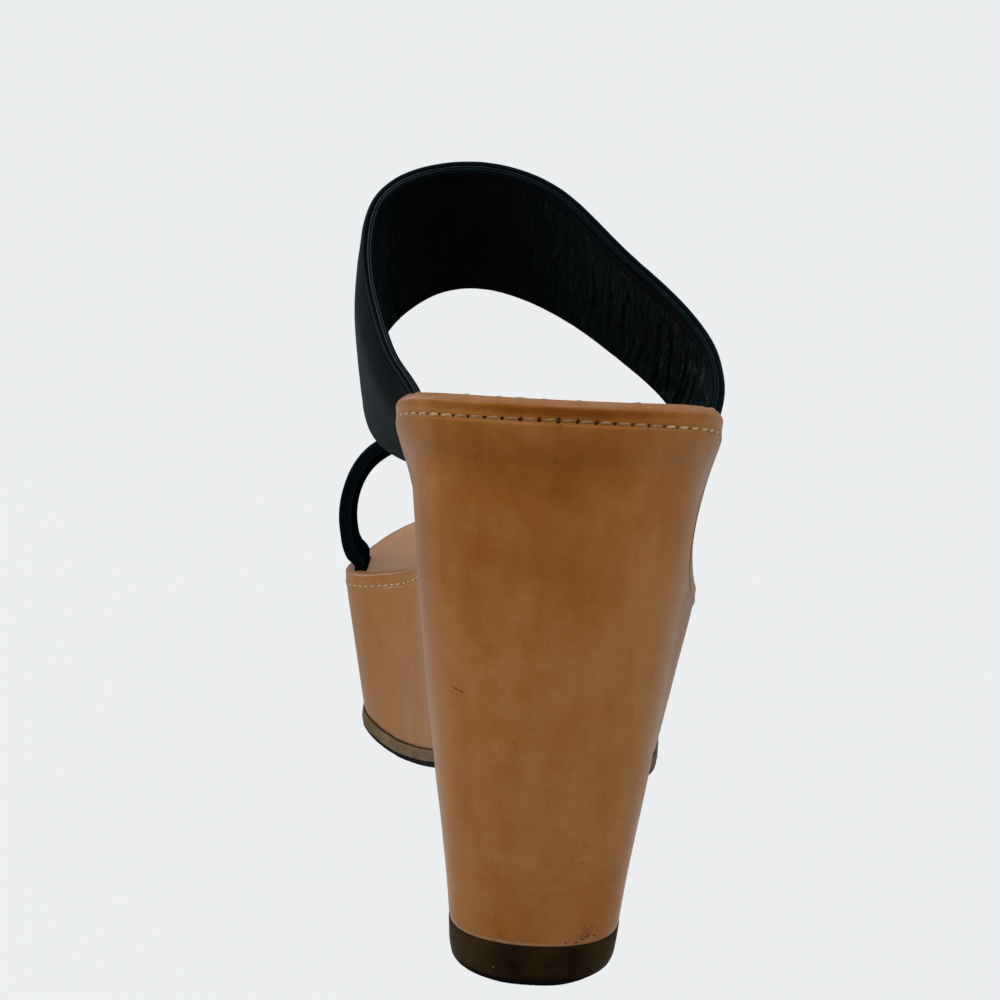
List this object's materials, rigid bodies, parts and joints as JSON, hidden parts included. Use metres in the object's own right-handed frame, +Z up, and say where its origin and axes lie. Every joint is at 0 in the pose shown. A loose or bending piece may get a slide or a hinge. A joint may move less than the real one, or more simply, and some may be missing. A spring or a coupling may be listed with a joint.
{
  "type": "platform wedge sandal",
  "caption": "Right-foot backless platform wedge sandal: leather-covered wedge with arch gap, stitched footbed, wide instep band, narrower forefoot band, rubber sole and heel lift.",
  "frame": {"origin": "middle of the bounding box, on the floor", "axes": "+Y towards the toe, +X towards the outer side of a right foot, +Z up"},
  "size_m": [0.0988, 0.2282, 0.1703],
  "materials": {
    "wedge_cover": "smooth polished tan",
    "footbed": "smooth tan",
    "strap": "soft black, creased lining",
    "sole": "matt brown",
    "lift": "satin dark brown"
  },
  "bodies": {
    "root": {"wedge": "wedge_cover", "footbed": "footbed", "instep_strap": "strap", "forefoot_strap": "strap", "outsole": "sole", "heel_lift": "lift"}
  },
  "joints": []
}
